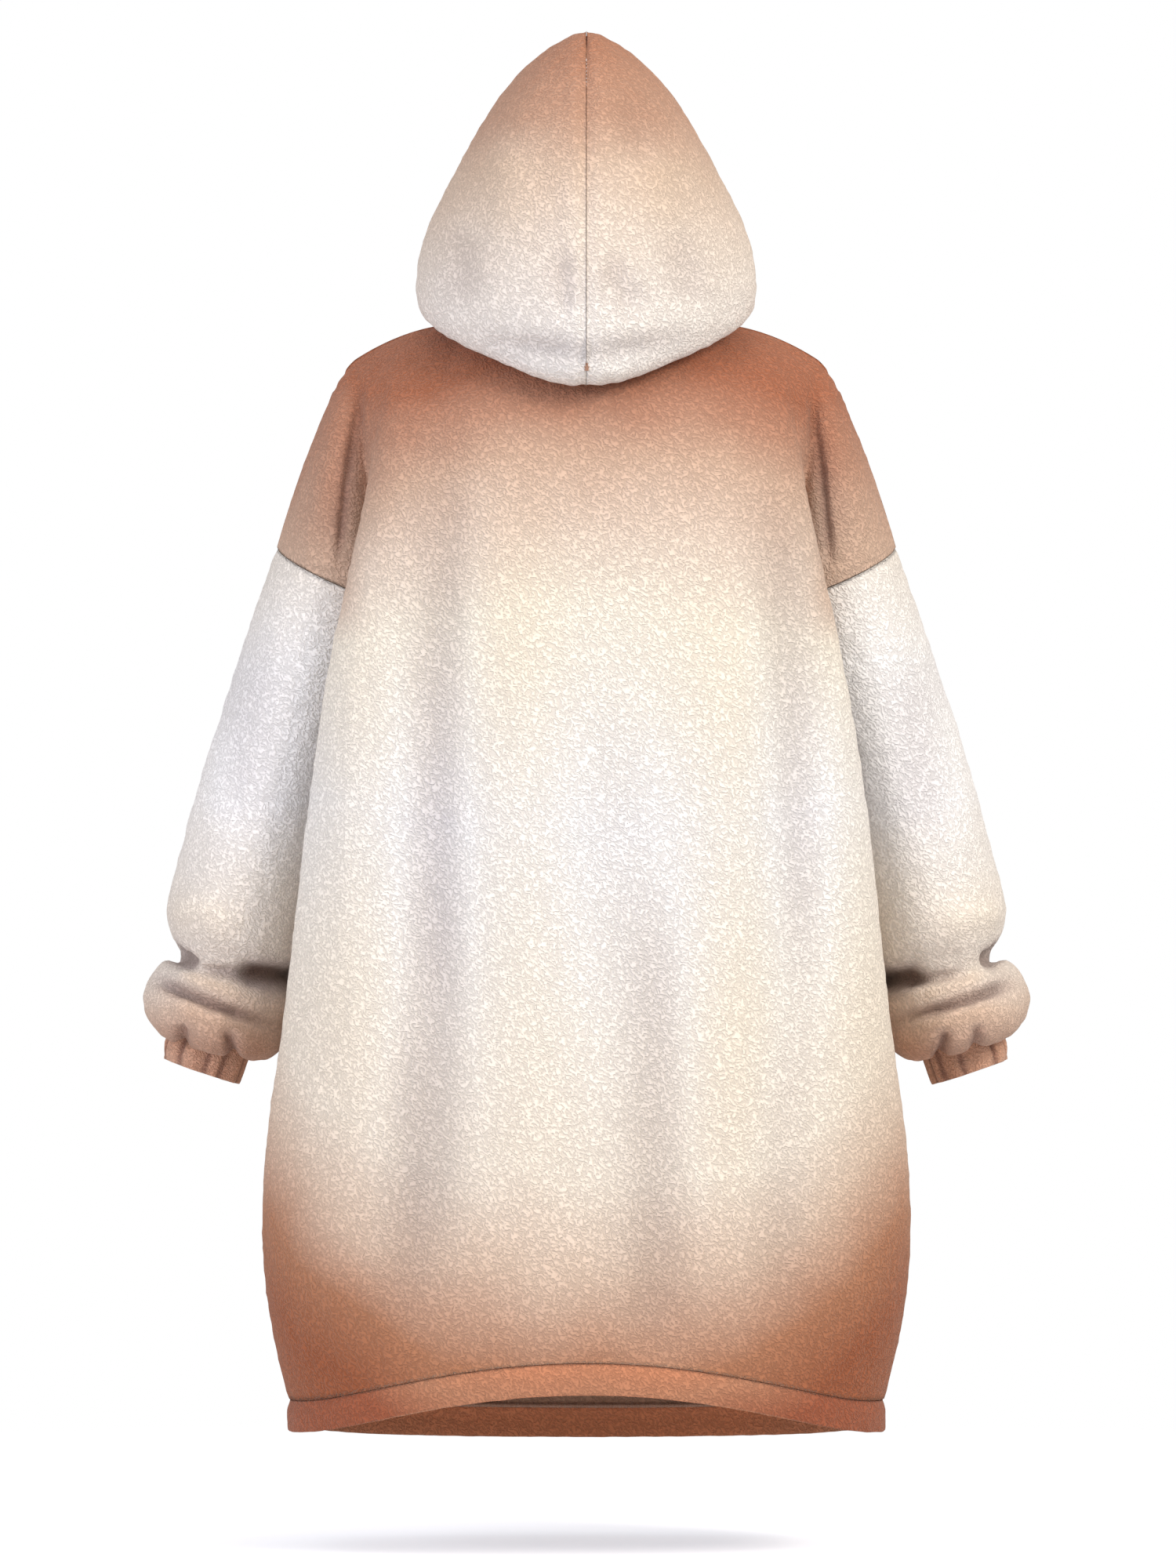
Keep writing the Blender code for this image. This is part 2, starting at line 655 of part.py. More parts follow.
def main():
    for item in list(bpy.data.objects):
        bpy.data.objects.remove(item, do_unlink=True)
    collection = bpy.data.collections.new("wearable_blanket_hoodie")
    bpy.context.scene.collection.children.link(collection)
    finishes = {
        "body": material("shaded_fleece", CREAM),
        "slee": material("sleeve_fleece", CREAM),
        "hood": material("hood_fleece", PEACH),
        "hem_": material("hem_fleece", BROWN),
        "cuff": material("cuff_rib", BROWN),
    }
    for cloth, wall in ((sew_body(), FLEECE_WALL), (sew_hood(), FLEECE_WALL), (sew_cuffs(), RIB_WALL)):
        units, slopes = cloth.normals()
        for name in cloth.quads:
            places, loops = cloth.piece(name, wall, units, slopes)
            make_object(name, places, loops, finishes[name[:4]], collection)


main()
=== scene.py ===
import math

import bmesh
import bpy
import numpy as np
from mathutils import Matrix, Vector, kdtree, noise


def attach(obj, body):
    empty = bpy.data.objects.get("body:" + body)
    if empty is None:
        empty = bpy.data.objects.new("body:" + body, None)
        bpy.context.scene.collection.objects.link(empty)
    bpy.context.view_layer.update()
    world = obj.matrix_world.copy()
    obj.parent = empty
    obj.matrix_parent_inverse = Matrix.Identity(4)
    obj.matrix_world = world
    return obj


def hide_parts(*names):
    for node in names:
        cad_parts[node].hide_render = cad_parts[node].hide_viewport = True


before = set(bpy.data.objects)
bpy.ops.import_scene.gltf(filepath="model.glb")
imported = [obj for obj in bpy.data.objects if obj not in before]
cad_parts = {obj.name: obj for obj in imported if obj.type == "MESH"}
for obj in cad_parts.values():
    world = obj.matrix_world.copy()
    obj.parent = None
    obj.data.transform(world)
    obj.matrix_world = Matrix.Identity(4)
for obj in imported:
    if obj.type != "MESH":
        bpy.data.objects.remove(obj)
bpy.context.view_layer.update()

# Back and front panels. Deep curled polyester fleece, each cut in one with its
# half of the dropped shoulder and dyed so that the terracotta of the shoulders
# and the hem fades to cream. They hang from the shoulders in long soft drapes.
PANEL_FREE = 0.05

# The size and height of the pile's lumps, and how far the pile sinks at a seam
PANEL_NAP = (0.011, 0.0011, 0.0006)

# The rounder copies of the CAD walls: which edges count as cut, how near a
# neighbour makes a seam of one, and how crisp a free edge stays
FLEECE_LEVELS = 3
SHARP_EDGE = math.radians(50)
SEAM_REACH = 0.0026
SEAM_STEP = 0.003
FREE_EDGE_CREASE = 0.25
QUAD_BEND = math.radians(40)
QUAD_SKEW = math.radians(80)
MIDDLE_REACH = 0.014
ALLOWANCE_DEPTH = 0.0042

# The steps a fold's line is followed in, how folds fade at their ends and how wide
# they are shaded, and the height that is shaded in full
LINE_STEPS = 15
FOLD_FULL_SHADE = 0.0040
FOLD_SHADE_REACH = 1.65
FOLD_END = 0.38
FOLD_LEAD = 0.04

# The pile at a seam: where its lumps start, its groove, its rim and its pucker
NAP_START = 0.006
GROOVE_WIDTH = 0.0045
RIM_PLACE = 0.012
RIM_WIDTH = 0.006
RIM_SHARE = 0.4
PUCKER_SIZE = 0.026
PUCKER_REACH = 0.016
PUCKER_START = 0.004
PUCKER_SHARE = 0.6

# Where the fade runs deeper or paler than on the flat of the panel: on the upper
# arm, towards the shoulder's end, down the sides and inside
ARM_CREASE = (0.188, 0.220)
ARM_FOOT = (0.24, 0.30)
ARM_PALER = 0.42
SHOULDER_X = 0.20
SHOULDER_END = (0.18, 0.42)
SHOULDER_DEEPENING = 0.042
SIDE_X = 0.280
SIDE_RISE = (0.30, 0.62)
SIDE_DEEPENING = 0.135
PANEL_INSIDE_PALER = 0.08

# Drapes and creases: face, then the line they follow (x, z), width and height
PANEL_FOLDS = (
    ("body_back", ((0.198, -0.050), (0.213, -0.150), (0.223, -0.250)), 0.0042, -0.0055),
    ("body_back", ((0.210, -0.080), (0.224, -0.160), (0.236, -0.240)), 0.0120, -0.0016),
    ("body_back", ((-0.198, -0.056), (-0.210, -0.160), (-0.219, -0.250)), 0.0042, -0.0050),
    ("body_back", ((-0.209, -0.100), (-0.221, -0.170), (-0.232, -0.240)), 0.0110, -0.0016),
    ("body_back", ((0.114, -0.08), (0.132, -0.36), (0.128, -0.62)), 0.019, -0.0042),
    ("body_back", ((0.134, -0.46), (0.134, -0.68), (0.152, -0.90)), 0.020, -0.0036),
    ("body_back", ((0.170, -0.58), (0.160, -0.74), (0.166, -0.92)), 0.014, -0.0016),
    ("body_back", ((-0.068, -0.46), (-0.062, -0.72), (-0.056, -0.96)), 0.020, -0.0034),
    ("body_back", ((-0.158, -0.10), (-0.184, -0.38), (-0.190, -0.70)), 0.019, -0.0034),
    ("body_back", ((-0.176, -0.58), (-0.168, -0.74), (-0.178, -0.90)), 0.017, -0.0022),
    ("body_back", ((0.196, -0.24), (0.208, -0.50), (0.206, -0.76)), 0.028, 0.0034),
    ("body_back", ((0.070, -0.10), (0.062, -0.42), (0.056, -0.80)), 0.030, 0.0034),
    ("body_back", ((-0.110, -0.20), (-0.124, -0.50), (-0.126, -0.84)), 0.028, 0.0044),
    ("body_back", ((-0.228, -0.28), (-0.240, -0.52), (-0.244, -0.74)), 0.022, 0.0028),
    ("body_back", ((-0.006, -0.30), (-0.022, -0.47), (-0.036, -0.66)), 0.040, -0.0010),
    ("body_front", ((0.197, -0.054), (0.212, -0.155), (0.221, -0.250)), 0.0045, -0.0050),
    ("body_front", ((0.208, -0.090), (0.223, -0.165), (0.234, -0.240)), 0.0120, -0.0020),
    ("body_front", ((-0.199, -0.052), (-0.212, -0.150), (-0.222, -0.250)), 0.0045, -0.0055),
    ("body_front", ((-0.210, -0.085), (-0.224, -0.160), (-0.235, -0.240)), 0.0120, -0.0022),
    ("body_front", ((0.098, -0.10), (0.108, -0.40), (0.098, -0.70)), 0.020, -0.0042),
    ("body_front", ((0.152, -0.44), (0.162, -0.68), (0.150, -0.92)), 0.018, -0.0034),
    ("body_front", ((-0.042, -0.34), (-0.036, -0.62), (-0.052, -0.98)), 0.019, -0.0044),
    ("body_front", ((-0.148, -0.12), (-0.166, -0.40), (-0.158, -0.70)), 0.018, -0.0044),
    ("body_front", ((-0.198, -0.50), (-0.206, -0.70), (-0.192, -0.88)), 0.016, -0.0024),
    ("body_front", ((0.030, -0.14), (0.040, -0.50), (0.034, -0.84)), 0.034, 0.0034),
    ("body_front", ((-0.096, -0.22), (-0.104, -0.50), (-0.100, -0.82)), 0.028, 0.0036),
    ("body_front", ((0.206, -0.28), (0.216, -0.52), (0.208, -0.78)), 0.024, 0.0030),
)


def merged_copy(node):
    """A CAD wall's mesh with its doubled points merged, and the edges where it is cut."""
    shape = bmesh.new()
    shape.from_mesh(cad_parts[node].data)
    shape.verts.layers.float.new("outside")
    shape.edges.layers.float.new("crease_edge")
    bmesh.ops.remove_doubles(shape, verts=shape.verts, dist=1e-5)
    cut = [edge for edge in shape.edges if edge.calc_face_angle(0.0) >= SHARP_EDGE]
    return shape, cut


def tree_of(places):
    tree = kdtree.KDTree(len(places))
    for index, place in enumerate(places):
        tree.insert(place, index)
    tree.balance()
    return tree


def points_along(edges):
    found = []
    for edge in edges:
        a, b = (vert.co.copy() for vert in edge.verts)
        steps = max(1, int((a - b).length / SEAM_STEP))
        found += [a.lerp(b, step / steps) for step in range(steps + 1)]
    return found


# The cut edges of every piece, to tell a seam, where two pieces meet, from a free
# edge, and the lines along which the seams' allowances lie inside
cut_points = {}
seam_lines = []
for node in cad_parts:
    shape, cut = merged_copy(node)
    cut_points[node] = points_along(cut)
    shape.free()


def soft_copy(node, levels):
    """A copy of a CAD wall with rounder faces, and for each of its points whether
    it lies outside (1) or inside (0) and how far it is from the nearest seam."""
    names = [name for name in cut_points if name != node for place in cut_points[name]]
    others = tree_of([place for name in cut_points if name != node for place in cut_points[name]])
    shape, cut = merged_copy(node)
    regions = []
    left = set(shape.faces)
    while left:
        region = [left.pop()]
        for face in region:
            for edge in face.edges:
                if edge.calc_face_angle(0.0) < SHARP_EDGE:
                    for other in edge.link_faces:
                        if other in left:
                            left.remove(other)
                            region.append(other)
        regions.append(region)
    regions.sort(key=lambda region: -sum(face.calc_area() for face in region))
    outside = shape.verts.layers.float["outside"]
    for face in regions[0]:
        for vert in face.verts:
            vert[outside] = 1.0
    crease = shape.edges.layers.float["crease_edge"]
    sewn = []
    within = set(regions[1])
    for edge in cut:
        middle = (edge.verts[0].co + edge.verts[1].co) / 2
        place, index, gap = others.find(middle)
        if gap < SEAM_REACH:
            edge[crease] = 1.0
            sewn.append(edge)
            inner = [face for face in edge.link_faces if face in within]
            if inner and node < names[index]:
                seam_lines.append([vert.co + ALLOWANCE_DEPTH * inner[0].normal for vert in edge.verts])
        else:
            edge[crease] = FREE_EDGE_CREASE
    seams = tree_of(points_along(sewn))
    bmesh.ops.join_triangles(
        shape, faces=shape.faces, angle_face_threshold=QUAD_BEND, angle_shape_threshold=QUAD_SKEW
    )
    mesh = bpy.data.meshes.new(node + "_cloth")
    shape.to_mesh(mesh)
    shape.free()
    rough = bpy.data.objects.new(node + "_rough", mesh)
    bpy.context.scene.collection.objects.link(rough)
    rounder = rough.modifiers.new("rounder", "SUBSURF")
    rounder.levels = rounder.render_levels = levels
    smooth = bpy.data.meshes.new_from_object(rough.evaluated_get(bpy.context.evaluated_depsgraph_get()))
    bpy.data.objects.remove(rough)
    piece = bpy.data.objects.new(node + "_cloth", smooth)
    bpy.context.scene.collection.objects.link(piece)
    smooth.shade_smooth()
    away = np.array([seams.find(vert.co)[2] for vert in smooth.vertices])
    side = np.zeros(len(smooth.vertices), np.float32)
    smooth.attributes["outside"].data.foreach_get("value", side)
    return piece, side.astype(float), away


def places_of(piece):
    flat = np.zeros(len(piece.data.vertices) * 3, np.float32)
    piece.data.vertices.foreach_get("co", flat)
    return flat.reshape(-1, 3).astype(float)


def put_places(piece, places):
    piece.data.vertices.foreach_set("co", places.astype(np.float32).ravel())
    piece.data.update()


def normals_of(piece, side):
    """Each point's normal, from the faces on its own side of the cloth: a cut edge
    doesn't tilt it, and nothing on the middle plane leans away from it."""
    mesh = piece.data
    corners = np.zeros(len(mesh.loops), np.int32)
    mesh.loops.foreach_get("vertex_index", corners)
    corners = corners.reshape(-1, 4)
    flat = np.zeros(len(mesh.polygons) * 3, np.float32)
    mesh.polygons.foreach_get("normal", flat)
    flat = flat.reshape(-1, 3)
    even = np.ptp(side[corners], axis=1) < 0.01
    found = np.zeros((len(mesh.vertices), 3))
    for corner in range(4):
        np.add.at(found, corners[even, corner], flat[even])
    plain = np.zeros(len(mesh.vertices) * 3, np.float32)
    mesh.vertex_normals.foreach_get("vector", plain)
    length = np.linalg.norm(found, axis=1, keepdims=True)
    found = np.where(length > 0.1, found / np.maximum(length, 0.1), plain.reshape(-1, 3))
    found[:, 0] *= ease(0.0, MIDDLE_REACH, np.abs(places_of(piece)[:, 0]))
    return found


def ease(start, end, value):
    t = np.clip((value - start) / (end - start), 0.0, 1.0)
    return t * t * (3 - 2 * t)


def along_line(flat_places, line):
    """Each point's distance from a curved line of three points, and how far along it lies."""
    a, b, c = (np.array(corner) for corner in line)
    steps = np.linspace(0, 1, LINE_STEPS)[:, None]
    path = (1 - steps) ** 2 * a + 2 * steps * (1 - steps) * (2 * b - 0.5 * (a + c)) + steps**2 * c
    nearest = np.full(len(flat_places), np.inf)
    share = np.zeros(len(flat_places))
    for index, (start, end) in enumerate(zip(path, path[1:])):
        run = end - start
        t = np.clip((flat_places - start) @ run / (run @ run), 0, 1)
        gap = np.linalg.norm(flat_places - start - t[:, None] * run, axis=1)
        closer = gap < nearest
        nearest[closer] = gap[closer]
        share[closer] = (index + t[closer]) / (len(path) - 1)
    return nearest, share


def fold_heights(places, folds):
    """How high each point stands on the folds, and how much light its place loses or gains."""
    flat_places = places[:, (0, 2)]
    height = np.zeros(len(places))
    shade = np.zeros(len(places))
    for line, width, rise in folds:
        gap, share = along_line(flat_places, line)
        fade = ease(0.0, FOLD_END, share + FOLD_LEAD) * (1 - ease(1 - FOLD_END, 1.0, share - FOLD_LEAD))
        height += rise * fade * np.exp(-((gap / width) ** 2))
        shade += rise / FOLD_FULL_SHADE * fade * np.exp(-((gap / (FOLD_SHADE_REACH * width)) ** 2))
    return height, shade


def curls(places, size):
    """Lumps of the pile, about a size across, from -1 to 1."""
    scale = 1.0 / size
    return np.array([noise.noise(Vector(place) * scale) for place in places])


def lift(piece, side, height):
    """Moves both sides of the cloth outwards by a height at each point, and its cut
    edges with the nearest outside point."""
    places = places_of(piece)
    outwards = normals_of(piece, side) * np.where(side > 0.5, 1.0, -1.0)[:, None]
    outer = np.flatnonzero(side > 0.999)
    nearest = tree_of(places[outer])
    for index in np.flatnonzero((side > 0.001) & (side < 0.999)):
        outwards[index] = outwards[outer[nearest.find(places[index])[1]]]
    put_places(piece, places + outwards * height[:, None])


def nap(piece, side, away, size, height, seam_sink):
    """Raises the pile outside the cloth, and sinks and puckers it at the seams."""
    places = places_of(piece)
    lumps = height * curls(places, size) * ease(0.0, NAP_START, away)
    beside = np.exp(-((away / PUCKER_REACH) ** 2)) * ease(0.0, PUCKER_START, away)
    pucker = PUCKER_SHARE * seam_sink * curls(places, PUCKER_SIZE) * beside
    groove = seam_sink * np.exp(-((away / GROOVE_WIDTH) ** 2))
    rim = RIM_SHARE * seam_sink * np.exp(-(((away - RIM_PLACE) / RIM_WIDTH) ** 2))
    put_places(piece, places + normals_of(piece, side) * (side * (lumps + pucker - groove + rim))[:, None])


def keep_values(piece, name, values):
    layer = piece.data.attributes.new(name, "FLOAT", "POINT")
    layer.data.foreach_set("value", values.astype(np.float32))


def linear(colour):
    """An sRGB hex colour as linear red, green, blue and alpha."""
    parts = [int(colour[i : i + 2], 16) / 255 for i in (0, 2, 4)]
    return [p / 12.92 if p <= 0.04045 else ((p + 0.055) / 1.055) ** 2.4 for p in parts] + [1.0]


def add(tree, kind, links=(), **settings):
    """Adds a node with its settings; links are (socket, value or another node's output)."""
    node = tree.nodes.new(kind)
    for name, value in settings.items():
        setattr(node, name, value)
    for socket, value in links:
        if isinstance(value, bpy.types.NodeSocket):
            tree.links.new(value, node.inputs[socket])
        else:
            node.inputs[socket].default_value = value
    return node


def speckle(tree, place, scale, detail=2.0):
    """A noise texture's outputs."""
    return add(tree, "ShaderNodeTexNoise", [("Vector", place), ("Scale", scale), ("Detail", detail)]).outputs


def ranged(tree, value, start, end, low=0.0, high=1.0):
    """Where a value lies between start and end, as a number from low to high."""
    node = add(tree, "ShaderNodeMapRange", [("Value", value), ("From Min", start), ("From Max", end)])
    node.inputs["To Min"].default_value = low
    node.inputs["To Max"].default_value = high
    return node.outputs["Result"]


def tinted(tree, share, colour, tint):
    """A colour multiplied by a tint, by a share from 0 to 1."""
    node = add(tree, "ShaderNodeMix", [("Factor", share), ("A", colour)], data_type="RGBA")
    node.blend_type = "MULTIPLY"
    node.inputs["B"].default_value = linear(tint)
    return node.outputs["Result"]


def fill_ramp(ramp, stops):
    """Sets a colour ramp's stops: (place, hex colour)."""
    while len(ramp.elements) > 1:
        ramp.elements.remove(ramp.elements[0])
    ramp.interpolation = "LINEAR"
    ramp.elements[0].position = stops[0][0]
    ramp.elements[0].color = linear(stops[0][1])
    for place, colour in stops[1:]:
        ramp.elements.new(place).color = linear(colour)


# Curled sherpa fleece, dyed in a fade: matt, with short wavy curls about 5 mm
# apart, painted shade between them, and a soft bright rim where the pile catches light
CURL_SCALE = 540.0
CURL_SWAY = 0.006
CURL_SWAY_SHARE = 0.28
CURL_LAY = (0.0, -0.7, 0.0)
CURL_STRETCH = (1.8, 1.2, 1.0)
CURL_RANGE = (0.36, 0.62)
# Painted shade between the curls and a slight painted highlight on their tops
CURL_GAP_SHADE = (0.82, 1.04)
FIBRE_SCALE = 700.0
FIBRE_SHARE = 0.30
PILE_DEPTH = 0.0010
PILE_STRENGTH = 0.85
CLOUD_SCALE = 9.0
FADE_DRIFT = 0.05
# Painted shade in the drapes' troughs, painted highlight on their ridges and dark painted shade deep in the
# creases: tint and range of the fold shade
TROUGH_SHADE_TINT = "C8C2C6"
TROUGH_SHADE_RANGE = (0.0, -1.5, 0.0, 0.90)
RIDGE_HIGHLIGHT_TINT = "FFF3DA"
RIDGE_HIGHLIGHT_RANGE = (0.0, 1.5, 0.0, 0.50)
CREASE_SHADE_TINT = "8A6A5A"
CREASE_SHADE_RANGE = (-1.6, -4.2)
# Painted shade along the seams: distance from the seam and how dark it gets
SEAM_SHADE_RANGE = (0.0, 0.0030, 0.90, 1.0)


def curled_fleece(name, stops, curl_scale=CURL_SCALE):
    finish = bpy.data.materials.new(name)
    finish.use_nodes = True
    tree = finish.node_tree
    tree.nodes.clear()
    place = add(tree, "ShaderNodeTexCoord").outputs["Object"]
    fade = add(tree, "ShaderNodeAttribute", attribute_name="fade").outputs["Fac"]
    shade = add(tree, "ShaderNodeAttribute", attribute_name="shade").outputs["Fac"]
    seam = add(tree, "ShaderNodeAttribute", attribute_name="seam").outputs["Fac"]
    cloud = speckle(tree, place, CLOUD_SCALE)["Fac"]
    drift = add(tree, "ShaderNodeMath", [(0, cloud), (1, 0.5)], operation="SUBTRACT").outputs[0]
    drifting = [(0, drift), (1, FADE_DRIFT), (2, fade)]
    uneven = add(tree, "ShaderNodeMath", drifting, operation="MULTIPLY_ADD").outputs[0]
    ramp = add(tree, "ShaderNodeValToRGB", [("Fac", uneven)])
    fill_ramp(ramp.color_ramp, stops)

    # Curls: short strokes, bent this way and that, lying a little across the cloth
    sway = speckle(tree, place, CURL_SWAY_SHARE * curl_scale, 1.0)["Color"]
    centred = [(0, sway), (1, (0.5, 0.5, 0.5))]
    swayed = add(tree, "ShaderNodeVectorMath", centred, operation="SUBTRACT").outputs[0]
    bending = [(0, swayed), (1, (CURL_SWAY,) * 3), (2, place)]
    bent = add(tree, "ShaderNodeVectorMath", bending, operation="MULTIPLY_ADD").outputs[0]
    laid = add(tree, "ShaderNodeMapping", [("Vector", bent)], vector_type="TEXTURE")
    laid.inputs["Rotation"].default_value = CURL_LAY
    laid.inputs["Scale"].default_value = CURL_STRETCH
    curl = speckle(tree, laid.outputs[0], curl_scale, 1.0)["Fac"]
    pile = ranged(tree, curl, *CURL_RANGE)
    pile.node.interpolation_type = "SMOOTHSTEP"
    fibre = speckle(tree, place, FIBRE_SCALE)["Fac"]
    piling = [(0, fibre), (1, FIBRE_SHARE), (2, pile)]
    height = add(tree, "ShaderNodeMath", piling, operation="MULTIPLY_ADD").outputs[0]
    relief = [("Height", height), ("Distance", PILE_DEPTH), ("Strength", PILE_STRENGTH)]
    bump = add(tree, "ShaderNodeBump", relief).outputs[0]

    # Colour: the fade, with cool painted shade in the troughs and a warm painted
    # highlight on the ridges of the drapes, dark brown painted shade deep in the
    # creases, and painted shade between the curls and along the seams
    trough_shaded = tinted(tree, ranged(tree, shade, *TROUGH_SHADE_RANGE), ramp.outputs["Color"], TROUGH_SHADE_TINT)
    ridge_highlit = tinted(tree, ranged(tree, shade, *RIDGE_HIGHLIGHT_RANGE), trough_shaded, RIDGE_HIGHLIGHT_TINT)
    crease_shaded = tinted(tree, ranged(tree, shade, *CREASE_SHADE_RANGE), ridge_highlit, CREASE_SHADE_TINT)
    # Painted shade between the curls, times painted shade along the seams
    between = ranged(tree, pile, 0.0, 1.0, *CURL_GAP_SHADE)
    sewn = ranged(tree, seam, *SEAM_SHADE_RANGE)
    curl_and_seam_shade = add(tree, "ShaderNodeMath", [(0, between), (1, sewn)], operation="MULTIPLY").outputs[0]
    darkened = [("Vector", crease_shaded), ("Scale", curl_and_seam_shade)]
    colour = add(tree, "ShaderNodeVectorMath", darkened, operation="SCALE").outputs[0]
    cloth = add(tree, "ShaderNodeBsdfPrincipled", [("Base Color", colour), ("Normal", bump)])
    cloth.inputs["Roughness"].default_value = 0.95
    cloth.inputs["Specular IOR Level"].default_value = 0.15
    cloth.inputs["Sheen Weight"].default_value = 0.20
    cloth.inputs["Sheen Roughness"].default_value = 0.55
    cloth.inputs["Sheen Tint"].default_value = linear("FFF3E6")
    add(tree, "ShaderNodeOutputMaterial", [("Surface", cloth.outputs[0])])
    return finish


def coat(piece, finish):
    piece.data.materials.clear()
    piece.data.materials.append(finish)


# The fade runs down the flat panel, in metres below the top of the shoulder
PANEL_STOPS = (
    (0.030, "A9684B"),
    (0.076, "BC8C74"),
    (0.120, "D3B29C"),
    (0.190, "E8D5C5"),
    (0.260, "F6EDDF"),
    (0.450, "F5F3F3"),
    (0.640, "F6EFE6"),
    (0.760, "F3E8DA"),
    (0.840, "DFC6B2"),
    (0.890, "CAA28A"),
    (0.930, "B37C5D"),
    (1.000, "9C5A3B"),
)
panel_fleece = curled_fleece("curled_fleece_panel", PANEL_STOPS)

for node in ("body_back", "body_front"):
    panel, side, away = soft_copy(node, FLEECE_LEVELS)
    places = places_of(panel)
    drop = -places[:, 2]
    out = np.abs(places[:, 0])
    over = ease(*ARM_CREASE, out) * (1 - ease(*ARM_FOOT, drop))
    aside = np.clip(out / SIDE_X, 0, 1) ** 3 * ease(*SIDE_RISE, drop)
    upper = np.clip(out / SHOULDER_X, 0, 1) ** 2 * (1 - ease(*SHOULDER_END, drop)) * (1 - over)
    fade = (drop - SHOULDER_DEEPENING * upper) * (1 - ARM_PALER * over)
    keep_values(panel, "fade", fade + SIDE_DEEPENING * aside - PANEL_INSIDE_PALER * (1 - side))
    keep_values(panel, "seam", away)
    height, shade = fold_heights(places, [fold[1:] for fold in PANEL_FOLDS if fold[0] == node])
    free = ease(0.0, PANEL_FREE, away)
    lift(panel, side, height * free)
    keep_values(panel, "shade", shade * free)
    nap(panel, side, away, *PANEL_NAP)
    coat(panel, panel_fleece)
    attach(panel, "root")
    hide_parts(node)

# Sleeves. The same fleece, one piece each, set into the dropped armholes and
# gathered into the cuffs, so that the spare length rolls over above the wrist.
SLEEVE_FREE = 0.02
SLEEVE_NAP = (0.011, 0.0011, 0.0008)
SLEEVE_SHADE = 0.8
SLEEVE_STOPS = (
    (0.200, "F2E9DF"),
    (0.300, "FEFCFC"),
    (0.430, "FFFDFE"),
    (0.500, "FAF2EA"),
    (0.575, "F0E4D9"),
    (0.612, "DDC2AF"),
    (0.655, "C1937B"),
)
sleeve_fleece = curled_fleece("curled_fleece_sleeve", SLEEVE_STOPS)

